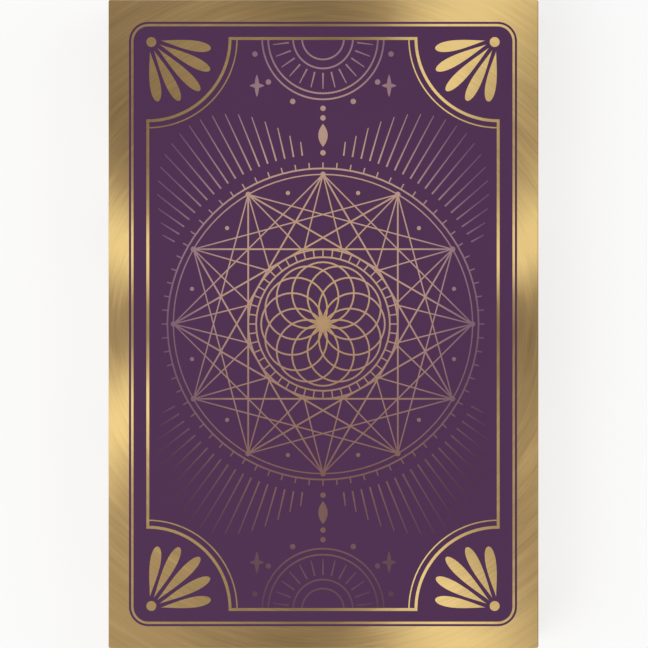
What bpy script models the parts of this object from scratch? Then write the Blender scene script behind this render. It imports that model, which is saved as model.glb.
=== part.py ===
"""Oracle card deck: a hand-squared stack of printed cards lying face down.

Every card is a sheet of laminated art card with its own object. The cards fan out
about one upright line near the lower short edge, where a thumb holds the deck,
so each card has its origin on that line. Metres, +Z up, +Y towards the top edge
of the card back, origin on the table under the middle of the deck.
"""

import math
import random

import bmesh
import bpy
from mathutils import Matrix, Vector

# The card
CARD_COUNT = 44
CARD_WIDTH = 0.086
CARD_LENGTH = 0.130
CARD_THICKNESS = 0.00035
CORNER_RADIUS = 0.0004
CORNER_SEGMENTS = 3

# The stack
AIR_GAP = 0.00005
SQUARING_ERROR = 0.00015
SQUARING_SEED = 268

# The fan: how far the pinning thumb sits from the lower short edge
THUMB_INSET = 0.018

# The print seen from above: linear colour, roughness and metallic value
PRINTED_BACK = ((0.083, 0.034, 0.087, 1.0), 0.50, 0.0)
GILT_EDGE = ((0.48, 0.31, 0.12, 1.0), 0.38, 0.9)


def remove_all_objects():
    for item in list(bpy.data.objects):
        bpy.data.objects.remove(item, do_unlink=True)


def finish(name, look):
    """A plain Principled material from a colour, a roughness and a metallic value."""
    colour, roughness, metallic = look
    material = bpy.data.materials.new(name)
    material.use_nodes = True
    shader = material.node_tree.nodes["Principled BSDF"]
    shader.inputs["Base Color"].default_value = colour
    shader.inputs["Roughness"].default_value = roughness
    shader.inputs["Metallic"].default_value = metallic
    return material


def thumb_line():
    """Where the upright line that the deck fans about meets the table."""
    return Vector((0.0, THUMB_INSET - CARD_LENGTH / 2.0, 0.0))


def squaring_offsets():
    """How far each card sits off the hand-squared stack: a hair at most, to a side of its own."""
    hand = random.Random(SQUARING_SEED)
    offsets = []
    for _ in range(CARD_COUNT):
        turn = hand.uniform(0.0, 2.0 * math.pi)
        reach = SQUARING_ERROR * math.sqrt(hand.random())
        offsets.append(Vector((math.cos(turn), math.sin(turn), 0.0)) * reach)
    return offsets


def card_height(index):
    """The underside of a card, counted from the table up."""
    return index * (CARD_THICKNESS + AIR_GAP)


def card_mesh(name, centre):
    """One trimmed sheet, with the small corner radius that the cutting die leaves."""
    sheet = bmesh.new()
    size = Matrix.Diagonal((CARD_WIDTH, CARD_LENGTH, CARD_THICKNESS, 1.0))
    bmesh.ops.create_cube(sheet, size=1.0, matrix=Matrix.Translation(centre) @ size)
    upright = [e for e in sheet.edges if abs(e.verts[0].co.z - e.verts[1].co.z) > CARD_THICKNESS / 2.0]
    bmesh.ops.bevel(
        sheet,
        geom=upright,
        offset=CORNER_RADIUS,
        affect="EDGES",
        segments=CORNER_SEGMENTS,
        profile=0.5,
        material=-1,
    )
    mesh = bpy.data.meshes.new(name)
    sheet.to_mesh(mesh)
    sheet.free()
    return mesh


def colour_card(mesh, printed, gilt):
    """The flat sides are printed, the cut edges are gilt."""
    mesh.materials.append(printed)
    mesh.materials.append(gilt)
    for face in mesh.polygons:
        face.material_index = 0 if abs(face.normal.z) > 0.5 else 1


def add_card(index, offset, printed, gilt):
    """A card, with its origin on the line that the deck fans about."""
    name = f"card_{index + 1:02d}"
    half_thickness = Vector((0.0, 0.0, CARD_THICKNESS / 2.0))
    mesh = card_mesh(name, offset - thumb_line() + half_thickness)
    colour_card(mesh, printed, gilt)
    card = bpy.data.objects.new(name, mesh)
    card.location = thumb_line() + Vector((0.0, 0.0, card_height(index)))
    bpy.context.scene.collection.objects.link(card)


def main():
    remove_all_objects()
    printed = finish("matte laminated print", PRINTED_BACK)
    gilt = finish("gilt card edge", GILT_EDGE)
    for index, offset in enumerate(squaring_offsets()):
        add_card(index, offset, printed, gilt)


main()
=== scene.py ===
"""Looks of the oracle card deck: printed sheets with gilt edges, foil line art, studio and camera."""

import math
from collections import namedtuple

import bmesh
import bpy
from mathutils import Matrix, Vector


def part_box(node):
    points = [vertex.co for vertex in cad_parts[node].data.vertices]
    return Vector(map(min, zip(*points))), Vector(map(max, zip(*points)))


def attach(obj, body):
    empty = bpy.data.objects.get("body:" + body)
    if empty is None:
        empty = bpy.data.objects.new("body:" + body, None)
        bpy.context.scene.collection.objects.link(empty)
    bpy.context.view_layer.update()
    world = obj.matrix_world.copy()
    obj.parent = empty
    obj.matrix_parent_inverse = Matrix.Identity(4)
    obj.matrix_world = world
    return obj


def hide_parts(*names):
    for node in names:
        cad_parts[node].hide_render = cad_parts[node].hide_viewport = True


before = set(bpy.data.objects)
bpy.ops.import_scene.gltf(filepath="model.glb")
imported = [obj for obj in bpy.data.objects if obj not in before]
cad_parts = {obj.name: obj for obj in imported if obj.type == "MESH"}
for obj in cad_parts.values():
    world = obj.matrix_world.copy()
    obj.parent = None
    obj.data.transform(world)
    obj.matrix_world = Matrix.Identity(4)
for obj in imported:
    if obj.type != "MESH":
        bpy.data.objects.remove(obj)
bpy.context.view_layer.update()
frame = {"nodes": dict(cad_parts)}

MM = 0.001
TURN = 2.0 * math.pi
HALF_TURN = TURN / 2.0
QUARTER_TURN = TURN / 4.0
MIDDLE = Vector((0.0, 0.0, 0.0))
WHITE = "#FFFFFF"

# Print of a card, from the trimmed edge inwards
SIDE_BORDER = 4.09 * MM
END_BORDER = 4.40 * MM
GROUND_GAP = 0.43 * MM
FINE_LINE = 0.48 * MM
BORDER_CORNER = 3.9 * MM
SIDE_FRAME = 7.87 * MM
END_FRAME = 7.75 * MM
FRAME_LINE = 0.58 * MM

# The trimmed sheet
TRIM_RADIUS = 0.4 * MM
TRIM_RIM = 0.03 * MM
CORNER_SEGMENTS = 14
SHARP_ANGLE = math.radians(32.0)

# Finishes of a sheet, and those of its foil, by their place in the piece's list
GILT, GOLD, BACK_PRINT, FACE_PRINT = range(4)
BRUSHED, FADING = range(2)

# Map that a card's finishes are baked through: the back on its left half, the face on its right, at so many
# map widths to a metre. Each band of the print is drawn a little smaller than the one round it, so that
# none bleeds into the next, and the gilt wall is opened out by its height.
BAKE_MAP = "OFBake"
BACK_U = 0.25
FACE_U = 0.75
MIDDLE_V = 0.5
MAP_SCALE = 5.4
PANEL_SHARE = 0.925
LINE_SHARE = 0.95
GAP_SHARE = 0.975
BORDER_SHARE = 1.0
GILT_SHARE = 1.02
GILT_RISE = 0.04

# Foil: how far it is sunk into the print, how far it stands up, and what each next layer adds. Real foil
# is thinner: this is as thick as it needs to be to stand clear of the print. Crossing lines lie in layers
# of their own, and the layers named last lie above the rosette's circles and the star's chords.
FOIL_ROOT = 0.010 * MM
FOIL_RISE = 0.012 * MM
FOIL_STEP = 0.0005 * MM
LINE = 0.34 * MM
HAIRLINE = 0.26 * MM
BEAD_SIDES = 20
PETAL_POINTS = 36
PETAL_SWELL = 0.7
CROSSING_LAYER = 1
SCOOP_LAYER = 2
FRAME_LAYER = 3
TICK_LAYER = 13
INNER_RING_LAYER = 14
OUTER_RING_LAYER = 15
BEAD_LAYER = 16

# Centre medallion: rosette, dial, star and rim. A chord of the star skips so many points.
ROSETTE_CIRCLES = 12
ROSETTE_RADIUS = 6.2 * MM
ROSETTE_STEPS = 40
DIAL_INNER = 13.4 * MM
DIAL_OUTER = 15.0 * MM
DIAL_TICKS = 48
DIAL_STEPS = 72
STAR_POINTS = 12
STAR_CHORDS = ((4, LINE), (3, HAIRLINE))
STAR_RADIUS = 30.0 * MM
RIM_RING = 31.2 * MM
RIM_TICK = 1.2 * MM
RIM_TICKS = 72
RIM_STEPS = 96
POINT_BEAD = 0.55 * MM
FIELD_BEAD = 0.42 * MM
FIELD_RADIUS = 27.2 * MM

# Rays around the medallion, in each quarter, and a small star beside each fan of them; headings in degrees
RAY_START = 34.0 * MM
RAY_LENGTH = 14.0 * MM
RAY_LEAST = 0.2
RAY_TAPER = 0.6
RAY_HEADINGS = range(29, 84, 3)
RAY_MIDDLE = 56.0
RAY_SPREAD = 30.0
SPARK_REACH = 49.6 * MM
SPARK_HEADING = 74.5
SPARK = (4.6 * MM, 3.0 * MM, 0.9 * MM)

# Half sun at each short end, and the chain of a drop and two beads below it
SUN_ARCS = (4.2 * MM, 6.0 * MM, 11.0 * MM, 12.2 * MM)
SUN_STEPS = 36
SUN_RAY = (6.9 * MM, 10.1 * MM)
SUN_RAYS = 13
SUN_RAY_TAPER = 0.5
SUN_BEAD_RADIUS = 14.0 * MM
SUN_BEADS = 7
CHAIN_DROP = (4.6 * MM, 1.9 * MM)
CHAIN_BEADS = 3.5 * MM

# Scooped corners of the inner frame, each with a fan of petals: their headings in degrees and lengths
SCOOP_RADIUS = 16.5 * MM
SCOOP_ECHO = 17.9 * MM
SCOOP_STEPS = 24
BACK_FAN = ((-36, 10.2 * MM), (-18, 11.4 * MM), (0, 12.2 * MM), (18, 11.4 * MM), (36, 10.2 * MM))
FACE_FAN = ((-30, 8.8 * MM), (0, 11.0 * MM), (30, 8.8 * MM))
FAN_START = 2.6 * MM
FAN_WIDTH = 3.0 * MM
CORNER_BEAD = 1.0 * MM

# Face of a card: a rosette in a dial with as many rays as the card's place in the deck, and two stars
FACE_RING = 20.0 * MM
FACE_RING_STEPS = 64
FACE_RAY = (21.5 * MM, 27.0 * MM)
FACE_RAY_TAPER = 0.4
FACE_RIM = 28.5 * MM
FACE_RIM_STEPS = 72
FACE_PETALS = 8
FACE_PETAL = (3.0 * MM, 12.0 * MM, 4.4 * MM)
FACE_HUB = 1.3 * MM
FACE_HUB_STEPS = 24
FACE_SPARK = (9.0 * MM, 6.0 * MM, 1.7 * MM)

# Brushed gold. Each light band is a highlight painted into the foil's colour: it has a heading from the
# card's middle and a half width in degrees, and a brightness. The shades run from the dark gold between the
# painted highlights to the brightest of them. The grain has a distance between its streaks, drawn as coarse
# as it needs to show, and runs of them to a turn. A roughness, here and below, is its least value and what
# the pattern adds.
PAINTED_GLINTS = ((-155, 12, 0.86), (-69, 11, 0.91), (21, 11, 0.97), (66, 11, 0.97), (158, 11, 0.92))
PAINTED_SOFT_GLINTS = ((-176, 22, 0.21), (-124, 18, 0.33), (-36, 22, 0.42), (43, 14, 0.35), (111, 13, 0.24))
GOLD_SHADES = ((0.0, "#755E3C"), (0.38, "#9B8053"), (1.0, "#DEBF7D"))
FINE_GRAIN = (0.30 * MM, 5.0)
BROAD_GRAIN = (1.6 * MM, 3.0)
GRAIN_DETAIL = 2.0
GRAIN_BREAK = 0.6
GRAIN_SWING = 0.27
GOLD_ROUGHNESS = (0.30, 0.16)
GOLD_METALLIC = 0.75

# Fading line foil: how far its fade reaches, its shades from the middle outwards, the tint of its lower
# half with the heights where that starts and is full, and the specks that wear it
FADE_X = 33.5 * MM
FADE_Y = 68.0 * MM
FADE_SHADES = ((0.0, "#B8966A"), (0.3, "#B39078"), (0.6, "#AD8B7E"), (0.8, "#8D6E76"), (1.0, "#654862"))
DUSK = "#A7959E"
DUSK_TOP = 9.0 * MM
DUSK_FOOT = -30.0 * MM
FOIL_SPECK = 0.8 * MM
SPECK_DETAIL = 2.0
SPECK_WEAR = (0.92, 0.16)
LINE_ROUGHNESS = (0.30, 0.20)
LINE_METALLIC = 0.6

# Matte print: its ground and the mottle in it, the mottle's clouds, and the tooth of the film, which is
# finer on a real card and drawn as coarse as it needs to show
PURPLE = ("#462448", "#4A264C")
IVORY = ("#E4D9C2", "#EFE6D3")
PRINT_CLOUD = 9.0 * MM
CLOUD_DETAIL = 3.0
PRINT_TOOTH = 0.35 * MM
TOOTH_DETAIL = 2.0
TOOTH_HEIGHT = 0.01 * MM
TOOTH_STRENGTH = 0.25
PRINT_ROUGHNESS = (0.48, 0.14)
PRINT_SPECULAR = 0.2

# Gilt edges: length and height of the glints, highlights painted into the gilt's colour that run up the
# whole deck, and of the streaks along each card's edge, the streaks' share of the shade, the shades up to
# the painted highlight, and the tooth of the board, drawn as coarse as it shows
GILT_PAINTED_GLINT = (18.0 * MM, 90.0 * MM)
GILT_STREAK = (60.0 * MM, 0.40 * MM)
GILT_DETAIL = 1.0
GILT_STREAK_SHARE = 0.25
GILT_SHADES = ((0.34, "#AE8B54"), (0.50, "#D0AD72"), (0.64, "#EED4A0"))
GILT_TOOTH = 0.30 * MM
GILT_ROUGHNESS = (0.20, 0.16)
GILT_METALLIC = 0.9

# Sockets of a Mix node by number, because their names repeat
FIRST_VALUE = 2
SECOND_VALUE = 3
FIRST_COLOUR = 6
SECOND_COLOUR = 7
MIXED_COLOUR = 2

# Studio: the table, its share of plain white in the picture, the room's light on the deck and its white
# in the picture, and the lamps with their places in metres, watts and sizes
TABLE_PAPER = "#F7F7F7"
TABLE_HALF = 1.6
TABLE_DROP = 0.1 * MM
TABLE_ROUGHNESS = 0.9
TABLE_SPECULAR = 0.1
TABLE_GLOW = 0.72
ROOM_LIGHT = 0.57
ROOM_WHITE = 0.95
LAMPS = (
    ("key lamp", (-0.7, -0.5, 1.1), 8.0, 0.9),
    ("fill lamp", (0.9, 0.4, 0.9), 3.0, 0.9),
)

# Photograph: the card fills the frame's height, and its middle sits one pixel left of the frame's
FRAME_PIXELS = 648
CARD_MIDDLE_PIXEL = 323.0
CAMERA_DISTANCE = 0.70
NEAR_CLIP = 0.01
SENSOR = 36.0

Outline = namedtuple("Outline", "half_width half_length radius")


def linear(code):
    """An sRGB hex colour as the linear colour that shaders take."""
    parts = [int(code[i:i + 2], 16) / 255.0 for i in (1, 3, 5)]
    return [p / 12.92 if p <= 0.04045 else ((p + 0.055) / 1.055) ** 2.4 for p in parts] + [1.0]


def feed(tree, node, inputs):
    """Gives a node its inputs: a value is set on the socket, and another node's output is linked to it."""
    for key, value in inputs.items():
        if isinstance(value, bpy.types.NodeSocket):
            tree.links.new(value, node.inputs[key])
        else:
            node.inputs[key].default_value = value


def add(tree, kind, inputs, output=0, **settings):
    """Adds one shader node with its settings and inputs, and returns the output that is asked for."""
    node = tree.nodes.new(kind)
    for name, value in settings.items():
        setattr(node, name, value)
    feed(tree, node, inputs)
    return node.outputs[output]


def fill_ramp(ramp, shades):
    """Fills a colour ramp with shades, each with its place on the ramp."""
    elements = ramp.color_ramp.elements
    while len(elements) < len(shades):
        elements.new(0.5)
    for element, (place, code) in zip(elements, shades):
        element.position = place
        element.color = linear(code)


def new_finish(name):
    """A Principled material to fill in: the material, its node tree and its shader."""
    material = bpy.data.materials.new(name)
    material.use_nodes = True
    return material, material.node_tree, material.node_tree.nodes["Principled BSDF"]


def round_the_middle(tree):
    """Where a point of the card lies: its distance from the card's middle, and its heading from there."""
    place = add(tree, "ShaderNodeTexCoord", {}, "Object")
    flat = add(tree, "ShaderNodeVectorMath", {0: place, 1: (1.0, 1.0, 0.0)}, operation="MULTIPLY")
    radius = add(tree, "ShaderNodeVectorMath", {0: flat}, "Value", operation="LENGTH")
    heading = add(tree, "ShaderNodeVectorMath", {0: flat}, operation="NORMALIZE")
    return radius, heading


def painted_light_bands(tree, heading):
    """The sum of all light bands, highlights painted into the foil's colour: each is brightest along its
    own heading, and half as bright at its half width from there."""
    total = 0.0
    for degrees, half_width, brightness in PAINTED_GLINTS + PAINTED_SOFT_GLINTS:
        turn = math.radians(degrees)
        towards = (math.cos(turn), math.sin(turn), 0.0)
        sharpness = math.log(0.5) / math.log(math.cos(math.radians(half_width)))
        near = add(tree, "ShaderNodeVectorMath", {0: heading, 1: towards}, "Value", operation="DOT_PRODUCT")
        near = add(tree, "ShaderNodeMath", {0: near, 1: 0.0}, operation="MAXIMUM")
        band = add(tree, "ShaderNodeMath", {0: near, 1: sharpness}, operation="POWER")
        total = add(tree, "ShaderNodeMath", {0: band, 1: brightness, 2: total}, operation="MULTIPLY_ADD")
    return total


def circular_brushing(tree, radius, heading, grain):
    """Streaks that run round the card's middle."""
    spacing, runs = grain
    across = add(tree, "ShaderNodeMath", {0: radius, 1: 1.0 / spacing}, operation="MULTIPLY")
    outward = add(tree, "ShaderNodeCombineXYZ", {2: across})
    along = add(tree, "ShaderNodeVectorMath", {0: heading, "Scale": runs}, operation="SCALE")
    lane = add(tree, "ShaderNodeVectorMath", {0: along, 1: outward}, operation="ADD")
    return add(
        tree, "ShaderNodeTexNoise",
        {"Vector": lane, "Scale": 1.0, "Detail": GRAIN_DETAIL, "Roughness": GRAIN_BREAK},
    )


def brushed_gold_foil():
    """Hot-stamped gold foil with a circular brushed grain: light bands, highlights painted into its colour,
    fan out from the middle of the card, and fine arcs of the grain cross the border."""
    material, tree, shader = new_finish("brushed gold foil")
    radius, heading = round_the_middle(tree)
    # Painted highlights: the light bands are drawn into the base colour and do not move with the lamps.
    bands = painted_light_bands(tree, heading)
    fine = circular_brushing(tree, radius, heading, FINE_GRAIN)
    broad = circular_brushing(tree, radius, heading, BROAD_GRAIN)
    grain = add(tree, "ShaderNodeMath", {0: fine, 1: broad}, operation="ADD")
    wave = add(
        tree, "ShaderNodeMath",
        {0: grain, 1: GRAIN_SWING, 2: -GRAIN_SWING}, operation="MULTIPLY_ADD",
    )
    painted_glints_and_grain = add(tree, "ShaderNodeMath", {0: bands, 1: wave}, operation="ADD", use_clamp=True)
    gold = add(tree, "ShaderNodeValToRGB", {0: painted_glints_and_grain})
    fill_ramp(gold.node, GOLD_SHADES)
    least, swing = GOLD_ROUGHNESS
    rough = add(tree, "ShaderNodeMath", {0: fine, 1: swing, 2: least}, operation="MULTIPLY_ADD")
    feed(tree, shader, {"Base Color": gold, "Roughness": rough, "Metallic": GOLD_METALLIC})
    return material


def fading_gold_foil():
    """Thin gold line foil that is brightest at the middle of the card and sinks into the ground
    colour towards its far ends, darker and redder in the lower half."""
    material, tree, shader = new_finish("fading gold line foil")
    place = add(tree, "ShaderNodeTexCoord", {}, "Object")
    squeeze = (1.0 / FADE_X, 1.0 / FADE_Y, 0.0)
    oval = add(tree, "ShaderNodeVectorMath", {0: place, 1: squeeze}, operation="MULTIPLY")
    reach = add(tree, "ShaderNodeVectorMath", {0: oval}, "Value", operation="LENGTH")
    fade = add(tree, "ShaderNodeValToRGB", {0: reach})
    fill_ramp(fade.node, FADE_SHADES)
    up = add(tree, "ShaderNodeSeparateXYZ", {0: place}, "Y")
    day = add(tree, "ShaderNodeMapRange", {"Value": up, "From Min": DUSK_FOOT, "From Max": DUSK_TOP})
    tint = add(
        tree, "ShaderNodeMix",
        {0: day, FIRST_COLOUR: linear(DUSK), SECOND_COLOUR: linear(WHITE)},
        MIXED_COLOUR, data_type="RGBA",
    )
    tinted = add(tree, "ShaderNodeVectorMath", {0: fade, 1: tint}, operation="MULTIPLY")
    speck = add(
        tree, "ShaderNodeTexNoise",
        {"Vector": place, "Scale": 1.0 / FOIL_SPECK, "Detail": SPECK_DETAIL},
    )
    least, swing = SPECK_WEAR
    wear = add(tree, "ShaderNodeMath", {0: speck, 1: swing, 2: least}, operation="MULTIPLY_ADD")
    worn = add(tree, "ShaderNodeVectorMath", {0: tinted, "Scale": wear}, operation="SCALE")
    least, swing = LINE_ROUGHNESS
    rough = add(tree, "ShaderNodeMath", {0: speck, 1: swing, 2: least}, operation="MULTIPLY_ADD")
    feed(tree, shader, {"Base Color": worn, "Roughness": rough, "Metallic": LINE_METALLIC})
    return material


def matte_print(name, ground, mottle):
    """Offset print under a soft matte film: an even colour, a faint mottle of the board's fibres,
    and a low sheen that the film's fine tooth breaks up."""
    material, tree, shader = new_finish(name)
    place = add(tree, "ShaderNodeTexCoord", {}, "Object")
    cloud = add(
        tree, "ShaderNodeTexNoise",
        {"Vector": place, "Scale": 1.0 / PRINT_CLOUD, "Detail": CLOUD_DETAIL},
    )
    tooth = add(
        tree, "ShaderNodeTexNoise",
        {"Vector": place, "Scale": 1.0 / PRINT_TOOTH, "Detail": TOOTH_DETAIL},
    )
    both = add(tree, "ShaderNodeMath", {0: cloud, 1: tooth}, operation="ADD")
    mean = add(tree, "ShaderNodeMath", {0: both, 1: 0.5}, operation="MULTIPLY")
    ink = add(
        tree, "ShaderNodeMix",
        {0: mean, FIRST_COLOUR: linear(ground), SECOND_COLOUR: linear(mottle)},
        MIXED_COLOUR, data_type="RGBA",
    )
    least, swing = PRINT_ROUGHNESS
    rough = add(tree, "ShaderNodeMath", {0: tooth, 1: swing, 2: least}, operation="MULTIPLY_ADD")
    relief = add(
        tree, "ShaderNodeBump",
        {"Strength": TOOTH_STRENGTH, "Distance": TOOTH_HEIGHT, "Height": tooth},
    )
    feed(tree, shader, {
        "Base Color": ink, "Roughness": rough, "Normal": relief, "Specular IOR Level": PRINT_SPECULAR,
    })
    return material


def gilt_edge():
    """Gold leaf burnished onto the edges of the whole squared deck: satin gold with soft glints, highlights
    painted into its colour, that run on from card to card, and a faint shade of its own on each card's cut
    edge."""
    material, tree, shader = new_finish("burnished gilt edge")
    place = add(tree, "ShaderNodeTexCoord", {}, "Object")
    shades = []
    for length, height in (GILT_PAINTED_GLINT, GILT_STREAK):
        stretch = (1.0 / length, 1.0 / length, 1.0 / height)
        drawn = add(tree, "ShaderNodeMapping", {"Vector": place, "Scale": stretch})
        shade = add(tree, "ShaderNodeTexNoise", {"Vector": drawn, "Scale": 1.0, "Detail": GILT_DETAIL})
        shades.append(shade)
    # The glint noise is a highlight painted into the gilt's colour; it does not follow the lamps.
    painted_glint, streak = shades
    painted_glints_and_grain = add(tree, "ShaderNodeMix", {0: GILT_STREAK_SHARE, FIRST_VALUE: painted_glint, SECOND_VALUE: streak})
    gold = add(tree, "ShaderNodeValToRGB", {0: painted_glints_and_grain})
    fill_ramp(gold.node, GILT_SHADES)
    tooth = add(
        tree, "ShaderNodeTexNoise",
        {"Vector": place, "Scale": 1.0 / GILT_TOOTH, "Detail": TOOTH_DETAIL},
    )
    least, swing = GILT_ROUGHNESS
    rough = add(tree, "ShaderNodeMath", {0: tooth, 1: swing, 2: least}, operation="MULTIPLY_ADD")
    feed(tree, shader, {"Base Color": gold, "Roughness": rough, "Metallic": GILT_METALLIC})
    return material


def print_outline(half, inside):
    """Outline of a line of the print, so far inside the border."""
    return Outline(half.x - SIDE_BORDER - inside, half.y - END_BORDER - inside, BORDER_CORNER - inside)


def trim_outline(half, inside):
    """The trimmed outline, so far inside it."""
    return Outline(half.x - inside, half.y - inside, TRIM_RADIUS)


def arc_centre(outline, side):
    """Middle of the arc that rounds an outline's corner, on the side given by two signs."""
    corner = Vector((outline.half_width - outline.radius, outline.half_length - outline.radius))
    return corner * side


def rounded_panel(skin, outline, height):
    """The panel that the skin starts from: a rectangle with its corners rounded."""
    size = Matrix.Diagonal((outline.half_width, outline.half_length, 1.0, 1.0))
    place = Matrix.Translation((0.0, 0.0, height)) @ size
    corners = bmesh.ops.create_grid(skin, x_segments=1, y_segments=1, size=1.0, matrix=place)["verts"]
    bmesh.ops.bevel(
        skin, geom=corners, offset=outline.radius, affect="VERTICES",
        segments=CORNER_SEGMENTS, profile=0.5, material=-1,
    )


def next_band(skin, rim, outline, new_outline, height):
    """Draws the skin's rim out to the next outline, and returns the new rim and the band between them."""
    drawn = bmesh.ops.extrude_edge_only(skin, edges=rim)["geom"]
    points = [part for part in drawn if isinstance(part, bmesh.types.BMVert)]
    for point in points:
        side = Vector((math.copysign(1.0, point.co.x), math.copysign(1.0, point.co.y)))
        spoke = point.co.xy - arc_centre(outline, side)
        flat = arc_centre(new_outline, side) + spoke * (new_outline.radius / outline.radius)
        point.co = (flat.x, flat.y, height)
    band = [part for part in drawn if isinstance(part, bmesh.types.BMFace)]
    fresh = set(points)
    return [edge for edge in skin.edges if edge.verts[0] in fresh and edge.verts[1] in fresh], band


def lay_flat(places, faces, middle_u, share, rise=0.0, foot=0.0, tall=1.0):
    """Puts faces on the bake map as seen from above, the gilt wall opened out by its height."""
    for face in faces:
        for corner in face.loops:
            point = corner.vert.co
            reach = MAP_SCALE * (share + rise * (point.z - foot) / tall)
            corner[places].uv = (middle_u + point.x * reach, MIDDLE_V + point.y * reach)


def as_piece(name, shape, finishes):
    """Turns a finished bmesh into an object with its materials."""
    mesh = bpy.data.meshes.new(name)
    shape.to_mesh(mesh)
    shape.free()
    mesh.shade_smooth()
    mesh.set_sharp_from_angle(angle=SHARP_ANGLE)
    for material in finishes:
        mesh.materials.append(material)
    piece = bpy.data.objects.new(name, mesh)
    bpy.context.scene.collection.objects.link(piece)
    return piece


def sheet_bands(half, bottom, top):
    """The outline of a card's panels, and the bands of its skin from the panel of its face to that of its
    back: the outline and height that each ends at, its finish, and its half and share of the bake map."""
    panel = print_outline(half, GROUND_GAP + FINE_LINE)
    line = print_outline(half, GROUND_GAP)
    border = print_outline(half, 0.0)
    flat = trim_outline(half, TRIM_RIM)
    wall = trim_outline(half, 0.0)
    return panel, (
        (line, bottom, GOLD, FACE_U, LINE_SHARE),
        (border, bottom, FACE_PRINT, FACE_U, GAP_SHARE),
        (flat, bottom, GOLD, FACE_U, BORDER_SHARE),
        (wall, bottom + TRIM_RIM, GILT, BACK_U, GILT_SHARE),
        (wall, top - TRIM_RIM, GILT, BACK_U, GILT_SHARE),
        (flat, top, GILT, BACK_U, GILT_SHARE),
        (border, top, GOLD, BACK_U, BORDER_SHARE),
        (line, top, BACK_PRINT, BACK_U, GAP_SHARE),
        (panel, top, GOLD, BACK_U, LINE_SHARE),
    )


def printed_sheet(name, low, high, finishes):
    """One card as a closed skin, drawn out from the panel of its face, round the gilt edge, and in to
    the panel of its back. The border, the gap and the fine line of the print are bands of that skin."""
    middle = (low + high) / 2.0
    outline, bands = sheet_bands((high - low) / 2.0, low.z, high.z)
    skin = bmesh.new()
    places = skin.loops.layers.uv.new(BAKE_MAP)
    rounded_panel(skin, outline, low.z)
    face_panel = list(skin.faces)
    rim = list(skin.edges)
    for new_outline, height, finish, middle_u, share in bands:
        rim, band = next_band(skin, rim, outline, new_outline, height)
        outline = new_outline
        rise = GILT_RISE if finish == GILT else 0.0
        lay_flat(places, band, middle_u, share, rise, low.z, high.z - low.z)
        for part in band:
            part.material_index = finish
    back_panel = bmesh.ops.holes_fill(skin, edges=rim, sides=0)["faces"]
    for panel, finish, middle_u in ((face_panel, FACE_PRINT, FACE_U), (back_panel, BACK_PRINT, BACK_U)):
        lay_flat(places, panel, middle_u, PANEL_SHARE)
        panel[0].material_index = finish
    bmesh.ops.translate(skin, verts=skin.verts, vec=(middle.x, middle.y, 0.0))
    bmesh.ops.recalc_face_normals(skin, faces=skin.faces)
    return as_piece(name, skin, finishes)


def polar(radius, heading):
    """A point on the card's plane, by its distance from the middle and its heading from there."""
    return Vector((radius * math.cos(heading), radius * math.sin(heading), 0.0))


def layer(index=0):
    """How high the top of a foil layer stands on the print."""
    return FOIL_RISE + index * FOIL_STEP


def stroke(art, start, end, width, rise, taper=1.0):
    """A straight line of foil, its far end taper times as wide."""
    run = end - start
    corners = bmesh.ops.create_cube(art, size=1.0)["verts"]
    for corner in corners:
        if corner.co.x > 0.0:
            corner.co.y *= taper
    place = Matrix.Translation((start + end) / 2.0 + Vector((0.0, 0.0, (rise - FOIL_ROOT) / 2.0)))
    turn = Matrix.Rotation(math.atan2(run.y, run.x), 4, "Z")
    size = Matrix.Diagonal((run.length, width, rise + FOIL_ROOT, 1.0))
    bmesh.ops.transform(art, matrix=place @ turn @ size, verts=corners)


def ring(art, centre, radius, width, rise, steps, first=0.0, sweep=TURN):
    """A round line of foil, spun from its cross-section; less than a full turn gets closed ends."""
    section = []
    for reach, height in ((1, -FOIL_ROOT), (1, rise), (-1, rise), (-1, -FOIL_ROOT)):
        point = centre + polar(radius + reach * width / 2.0, first)
        section.append(art.verts.new(point + Vector((0.0, 0.0, height))))
    sides = len(section)
    outline = [art.edges.new((section[i - 1], section[i])) for i in range(sides)]
    full = sweep >= TURN
    spun = bmesh.ops.spin(
        art, geom=section + outline, cent=centre, axis=(0.0, 0.0, 1.0), dvec=(0.0, 0.0, 0.0),
        angle=sweep, steps=steps, use_merge=full,
    )
    if not full:
        last = [part for part in spun["geom_last"] if isinstance(part, bmesh.types.BMEdge)]
        bmesh.ops.holes_fill(art, edges=outline + last, sides=sides)


def bead(art, centre, radius, rise):
    """A round dot of foil."""
    bmesh.ops.create_cone(
        art, cap_ends=True, segments=BEAD_SIDES, radius1=radius, radius2=radius, depth=rise + FOIL_ROOT,
        matrix=Matrix.Translation(centre + Vector((0.0, 0.0, (rise - FOIL_ROOT) / 2.0))),
    )


def petal(art, root, heading, length, width, rise, sharp_tip=False):
    """A petal of foil, pointed at its root and round at its tip, or pointed at both."""
    outline = bmesh.ops.create_circle(art, cap_ends=True, segments=PETAL_POINTS, radius=1.0)["verts"]
    for point in outline:
        if sharp_tip:
            point.co.y *= math.sqrt(max(0.0, 1.0 - point.co.x ** 2))
        else:
            point.co.y *= (0.5 + 0.5 * point.co.x) ** PETAL_SWELL
    place = Matrix.Translation(root + polar(length / 2.0, heading) - Vector((0.0, 0.0, FOIL_ROOT)))
    turn = Matrix.Rotation(heading, 4, "Z")
    size = Matrix.Diagonal((length / 2.0, width / 2.0, 1.0, 1.0))
    bmesh.ops.transform(art, matrix=place @ turn @ size, verts=outline)
    raised = bmesh.ops.extrude_face_region(art, geom=list(outline[0].link_faces))["geom"]
    tops = [part for part in raised if isinstance(part, bmesh.types.BMVert)]
    bmesh.ops.translate(art, verts=tops, vec=(0.0, 0.0, rise + FOIL_ROOT))


def ticks(art, count, inner, outer):
    """Short lines that point away from the middle, evenly round it."""
    for i in range(count):
        heading = TURN * i / count
        stroke(art, polar(inner, heading), polar(outer, heading), HAIRLINE, layer(TICK_LAYER))


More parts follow.
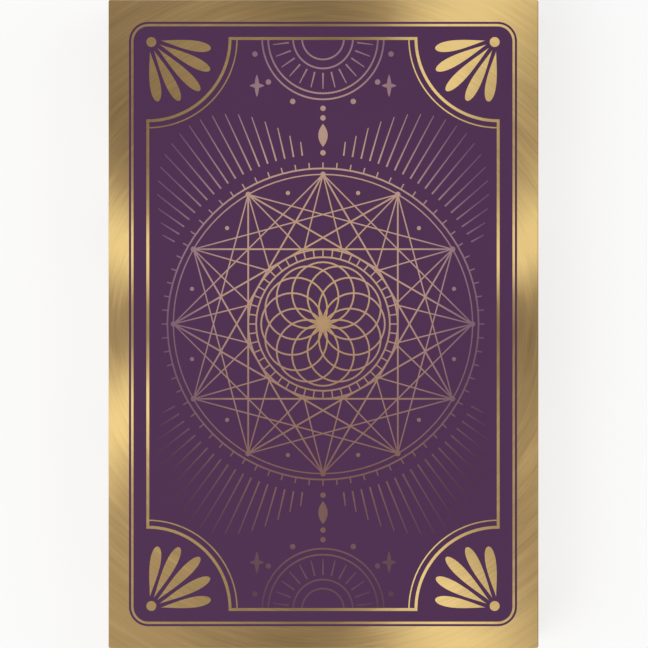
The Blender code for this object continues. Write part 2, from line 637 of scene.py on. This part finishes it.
def star_point(art, index):
    """One point of the star: the chords that set out from it, two lines in to the dial, and a bead."""
    tip = polar(STAR_RADIUS, TURN * index / STAR_POINTS)
    for step, (skip, width) in enumerate(STAR_CHORDS):
        far_tip = polar(STAR_RADIUS, TURN * (index + skip) / STAR_POINTS)
        stroke(art, tip, far_tip, width, layer(index + 0.5 * step))
    for aside in (0.5, -0.5):
        foot = polar(DIAL_OUTER, TURN * (index + aside) / STAR_POINTS)
        stroke(art, tip, foot, HAIRLINE, layer(TICK_LAYER + aside))
    bead(art, tip, POINT_BEAD, layer(BEAD_LAYER))


def medallion(art):
    """Rosette of twelve circles, a ticked dial round it, and a twelve-pointed star of triangles and
    squares laid over each other, as on a sky chart."""
    for i in range(ROSETTE_CIRCLES):
        centre = polar(ROSETTE_RADIUS, TURN * i / ROSETTE_CIRCLES)
        ring(art, centre, ROSETTE_RADIUS, LINE, layer(i), ROSETTE_STEPS)
    ring(art, MIDDLE, DIAL_INNER, LINE, layer(INNER_RING_LAYER), DIAL_STEPS)
    ring(art, MIDDLE, DIAL_OUTER, LINE, layer(OUTER_RING_LAYER), DIAL_STEPS)
    ticks(art, DIAL_TICKS, DIAL_INNER, DIAL_OUTER)
    for i in range(STAR_POINTS):
        star_point(art, i)
    ring(art, MIDDLE, STAR_RADIUS, HAIRLINE, layer(INNER_RING_LAYER), RIM_STEPS)
    ring(art, MIDDLE, RIM_RING, LINE, layer(OUTER_RING_LAYER), RIM_STEPS)
    for i in range(STAR_POINTS):
        bead(art, polar(FIELD_RADIUS, TURN * (i + 0.5) / STAR_POINTS), FIELD_BEAD, layer())
    ticks(art, RIM_TICKS, RIM_RING, RIM_RING + RIM_TICK)


def small_star(art, middle, size):
    """A star of two crossed petals, the upright one longer."""
    tall, wide, waist = size
    petal(art, middle - Vector((0.0, tall / 2.0, 0.0)), QUARTER_TURN, tall, waist, layer(), True)
    petal(art, middle - Vector((wide / 2.0, 0.0, 0.0)), 0.0, wide, waist, layer(CROSSING_LAYER), True)


def quarter_rays(art):
    """Fine rays that leave the medallion towards the four corners, longest in the middle of each fan,
    and a small star beside each fan."""
    for side in (0.0, HALF_TURN):
        for mirror in (1.0, -1.0):
            for degrees in RAY_HEADINGS:
                heading = side + mirror * math.radians(degrees)
                share = math.cos((degrees - RAY_MIDDLE) / RAY_SPREAD * QUARTER_TURN)
                end = RAY_START + RAY_LENGTH * max(RAY_LEAST, share)
                stroke(art, polar(RAY_START, heading), polar(end, heading), LINE, layer(), RAY_TAPER)
            small_star(art, polar(SPARK_REACH, side + mirror * math.radians(SPARK_HEADING)), SPARK)


def half_sun(art, middle, up):
    """Arches on the inner frame's short side, with rays between them and beads round them."""
    for radius in SUN_ARCS:
        ring(art, middle, radius, LINE, layer(CROSSING_LAYER), SUN_STEPS, up - QUARTER_TURN, HALF_TURN)
    inner, outer = SUN_RAY
    for i in range(SUN_RAYS):
        heading = up + HALF_TURN * ((i + 0.5) / SUN_RAYS - 0.5)
        start = middle + polar(inner, heading)
        stroke(art, start, middle + polar(outer, heading), LINE, layer(), SUN_RAY_TAPER)
    for i in range(SUN_BEADS):
        heading = up + HALF_TURN * ((i + 0.5) / SUN_BEADS - 0.5)
        bead(art, middle + polar(SUN_BEAD_RADIUS, heading), POINT_BEAD, layer())


def axis_chain(art, reach, side):
    """A pointed drop between two beads, on the card's long axis."""
    middle = side * (RIM_RING + RIM_TICK + reach.y - SUN_BEAD_RADIUS) / 2.0
    length, width = CHAIN_DROP
    petal(art, Vector((0.0, middle - length / 2.0, 0.0)), QUARTER_TURN, length, width, layer(), True)
    for shift in (-CHAIN_BEADS, CHAIN_BEADS):
        bead(art, Vector((0.0, middle + shift, 0.0)), POINT_BEAD, layer())


def corner_fan(art, corner, inward, fan):
    """A scooped corner of the inner frame, with petals that spread from a bead in it."""
    start = inward - QUARTER_TURN / 2.0
    for radius, width in ((SCOOP_RADIUS, FRAME_LINE), (SCOOP_ECHO, HAIRLINE)):
        ring(art, corner, radius, width, layer(SCOOP_LAYER), SCOOP_STEPS, start, QUARTER_TURN)
    bead(art, corner + polar(CORNER_BEAD, inward), CORNER_BEAD, layer())
    for degrees, length in fan:
        heading = inward + math.radians(degrees)
        petal(art, corner + polar(FAN_START, heading), heading, length, FAN_WIDTH, layer())


def frame_and_corners(art, reach, fan):
    """The inner frame's straight lines, with square ends, and its four scooped corners."""
    square_end = FRAME_LINE / 2.0
    across = Vector((reach.x - SCOOP_RADIUS + square_end, 0.0, 0.0))
    along = Vector((0.0, reach.y - SCOOP_RADIUS + square_end, 0.0))
    for side in (1.0, -1.0):
        top = Vector((0.0, side * reach.y, 0.0))
        flank = Vector((side * reach.x, 0.0, 0.0))
        stroke(art, top - across, top + across, FRAME_LINE, layer(FRAME_LAYER))
        stroke(art, flank - along, flank + along, FRAME_LINE, layer(FRAME_LAYER))
        for flip in (1.0, -1.0):
            corner = Vector((flip * reach.x, side * reach.y, 0.0))
            corner_fan(art, corner, math.atan2(-side, -flip), fan)


def frame_reach(half):
    """How far the inner frame's lines lie from the card's middle."""
    return Vector((half.x - SIDE_FRAME, half.y - END_FRAME, 0.0))


def back_foil(half):
    """The foil of a card back, drawn round the card's middle on its own plane: frame and corners in
    brushed gold, the rest in fading line foil."""
    reach = frame_reach(half)
    art = bmesh.new()
    frame_and_corners(art, reach, BACK_FAN)
    brushed = set(art.faces)
    for side in (1.0, -1.0):
        half_sun(art, Vector((0.0, side * reach.y, 0.0)), -side * QUARTER_TURN)
        axis_chain(art, reach, side)
    medallion(art)
    quarter_rays(art)
    for face in art.faces:
        face.material_index = BRUSHED if face in brushed else FADING
    # The frame comes last, so that it is baked over the ends of the arches that run under it.
    art.faces.sort(key=lambda face: face.material_index, reverse=True)
    bmesh.ops.recalc_face_normals(art, faces=art.faces)
    lay_flat(art.loops.layers.uv.new(BAKE_MAP), art.faces, BACK_U, BORDER_SHARE)
    mesh = bpy.data.meshes.new("back foil")
    art.to_mesh(mesh)
    art.free()
    return mesh


def face_foil(art, half, number):
    """The foil of a card's face, in brushed gold: frame and corners, a star towards each end, and a
    rosette in a dial with number rays."""
    reach = frame_reach(half)
    frame_and_corners(art, reach, FACE_FAN)
    for side in (1.0, -1.0):
        small_star(art, Vector((0.0, side * (FACE_RIM + reach.y) / 2.0, 0.0)), FACE_SPARK)
    ring(art, MIDDLE, FACE_RING, FRAME_LINE, layer(), FACE_RING_STEPS)
    ring(art, MIDDLE, FACE_RIM, LINE, layer(), FACE_RIM_STEPS)
    inner, outer = FACE_RAY
    for i in range(number):
        heading = TURN * (0.25 + i / number)
        stroke(art, polar(inner, heading), polar(outer, heading), FRAME_LINE, layer(), FACE_RAY_TAPER)
    ring(art, MIDDLE, FACE_HUB, FRAME_LINE, layer(), FACE_HUB_STEPS)
    start, length, width = FACE_PETAL
    for i in range(FACE_PETALS):
        heading = TURN * i / FACE_PETALS
        petal(art, polar(start, heading), heading, length, width, layer(), True)


def foil_piece(name, number, low, high, back, finishes):
    """All the foil of one card: the face's foil turned over onto its underside, and the back's on top."""
    half = (high - low) / 2.0
    middle = (low + high) / 2.0
    art = bmesh.new()
    face_foil(art, half, number)
    lay_flat(art.loops.layers.uv.new(BAKE_MAP), art.faces, FACE_U, BORDER_SHARE)
    over = Matrix.Translation((middle.x, middle.y, low.z)) @ Matrix.Rotation(HALF_TURN, 4, "Y")
    bmesh.ops.transform(art, matrix=over, verts=art.verts)
    bmesh.ops.recalc_face_normals(art, faces=art.faces)
    placed = back.copy()
    placed.transform(Matrix.Translation((middle.x, middle.y, high.z)))
    art.from_mesh(placed)
    bpy.data.meshes.remove(placed)
    return as_piece(name, art, finishes)


def dress_deck():
    """Every card of the deck, from the top one down. A node's name ends in its card's number."""
    gold = brushed_gold_foil()
    sheet_finishes = [
        gilt_edge(),
        gold,
        matte_print("matte laminated purple print", *PURPLE),
        matte_print("matte laminated ivory print", *IVORY),
    ]
    foil_finishes = [gold, fading_gold_foil()]
    names = sorted(frame["nodes"], reverse=True)
    low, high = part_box(names[0])
    back = back_foil((high - low) / 2.0)
    for name in names:
        low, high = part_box(name)
        number = int(name.split("_")[-1])
        sheet = printed_sheet(f"{name}_sheet", low, high, sheet_finishes)
        foil = foil_piece(f"{name}_foil", number, low, high, back, foil_finishes)
        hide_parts(name)
        for piece in (sheet, foil):
            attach(piece, name)


def background_rays(tree):
    """One for the rays that show the white background, from the camera, off metal and through glass,
    and zero for all others."""
    shown = add(tree, "ShaderNodeLightPath", {}, "Is Camera Ray")
    rays = shown.node.outputs
    for kind in ("Is Glossy Ray", "Is Transmission Ray"):
        shown = add(tree, "ShaderNodeMath", {0: shown, 1: rays[kind]}, operation="MAXIMUM")
    return shown


def white_table_paper():
    """Smooth uncoated paper: a matte white that shows almost plain in the picture and keeps a shadow."""
    material, tree, shader = new_finish("white table paper")
    feed(tree, shader, {
        "Base Color": linear(TABLE_PAPER),
        "Roughness": TABLE_ROUGHNESS,
        "Specular IOR Level": TABLE_SPECULAR,
    })
    share = add(tree, "ShaderNodeMath", {0: background_rays(tree), 1: TABLE_GLOW}, operation="MULTIPLY")
    glow = add(tree, "ShaderNodeEmission", {"Color": linear(WHITE), "Strength": 1.0})
    mixed = add(tree, "ShaderNodeMixShader", {0: share, 1: shader.outputs[0], 2: glow})
    feed(tree, tree.nodes["Material Output"], {"Surface": mixed})
    return material


def studio_floor():
    """A plain white table under the deck."""
    slab = bmesh.new()
    place = Matrix.Translation((0.0, 0.0, -TABLE_DROP))
    bmesh.ops.create_grid(slab, x_segments=1, y_segments=1, size=TABLE_HALF, matrix=place)
    mesh = bpy.data.meshes.new("floor")
    slab.to_mesh(mesh)
    slab.free()
    mesh.materials.append(white_table_paper())
    floor = bpy.data.objects.new("floor", mesh)
    bpy.context.scene.collection.objects.link(floor)


def studio_light():
    """Even white surroundings, with a soft lamp to the left of the deck and a weaker one to its right."""
    scene = bpy.context.scene
    scene.world = bpy.data.worlds.new("white studio")
    scene.world.use_nodes = True
    tree = scene.world.node_tree
    levels = {"Value": background_rays(tree), "To Min": ROOM_LIGHT, "To Max": ROOM_WHITE}
    level = add(tree, "ShaderNodeMapRange", levels)
    feed(tree, tree.nodes["Background"], {"Color": linear(WHITE), "Strength": level})
    for name, place, watts, size in LAMPS:
        data = bpy.data.lights.new(name, "AREA")
        data.energy = watts
        data.size = size
        lamp = bpy.data.objects.new(name, data)
        lamp.location = place
        lamp.rotation_euler = (-Vector(place)).to_track_quat("-Z", "Y").to_euler()
        scene.collection.objects.link(lamp)


def card_camera():
    """Straight down on the top card, whose length fills the picture."""
    low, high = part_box(max(frame["nodes"]))
    middle = (low + high) / 2.0
    length = high.y - low.y
    metres_per_pixel = length / FRAME_PIXELS
    aside = (FRAME_PIXELS / 2.0 - CARD_MIDDLE_PIXEL) * metres_per_pixel
    data = bpy.data.cameras.new("camera")
    data.sensor_width = SENSOR
    data.lens = SENSOR * CAMERA_DISTANCE / (length - 2.0 * TRIM_RIM)
    data.clip_start = NEAR_CLIP
    camera = bpy.data.objects.new("camera", data)
    camera.location = (middle.x + aside, middle.y, high.z + CAMERA_DISTANCE)
    bpy.context.scene.collection.objects.link(camera)
    bpy.context.scene.camera = camera


bpy.context.scene.view_settings.view_transform = "Standard"
dress_deck()
studio_floor()
studio_light()
card_camera()
